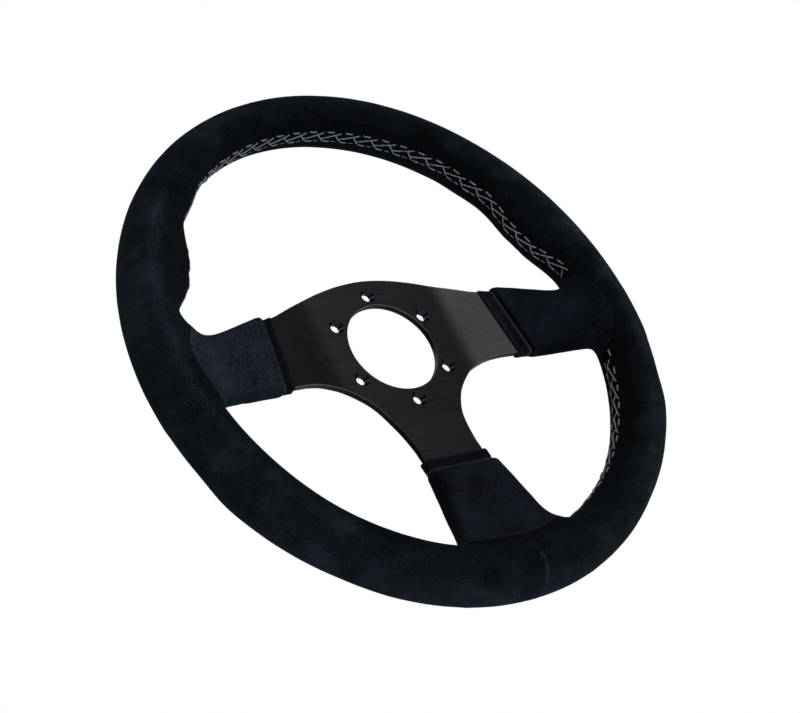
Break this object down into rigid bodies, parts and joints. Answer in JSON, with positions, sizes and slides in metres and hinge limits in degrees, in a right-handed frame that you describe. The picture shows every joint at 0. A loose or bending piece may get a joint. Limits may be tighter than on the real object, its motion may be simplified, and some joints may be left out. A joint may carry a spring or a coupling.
{
  "type": "steering wheel",
  "caption": "Round sports steering wheel with an anodised spoke plate, a padded suede grip with thumb rests, suede spoke sleeves and a cross-stitched inner seam.",
  "frame": {"origin": "centre of the bolt circle on the mounting (back) face of the spoke plate", "axes": "+Z towards 12 o'clock of the wheel held upright, +X to the driver's right, and -Y towards the driver, so the wheel mounts on a hub that lies on its +Y side"},
  "size_m": [0.332, 0.0354, 0.3321],
  "materials": {
    "anodised_plate": "brushed and anodised dark grey",
    "hidden_steel": "plain",
    "padding": "moulded foam, matt",
    "suede": "black suede nap",
    "trim_suede": "black suede, folded strip",
    "piping": "thin grey edge line",
    "thread": "light grey twisted thread"
  },
  "bodies": {
    "root": {"spoke_plate": "anodised_plate", "rim_hoop": "hidden_steel", "rivet_right_1": "hidden_steel", "rivet_right_2": "hidden_steel", "rivet_left_1": "hidden_steel", "rivet_left_2": "hidden_steel", "rivet_bottom_1": "hidden_steel", "rivet_bottom_2": "hidden_steel", "rim_padding": "padding", "rim_wrap": "suede", "sleeve_right": "suede", "trim_band_right": "trim_suede", "piping_right": "piping", "sleeve_left": "suede", "trim_band_left": "trim_suede", "piping_left": "piping", "sleeve_bottom": "suede", "trim_band_bottom": "trim_suede", "piping_bottom": "piping", "stitching_top": "thread", "stitching_left": "thread", "stitching_right": "thread"}
  },
  "joints": []
}
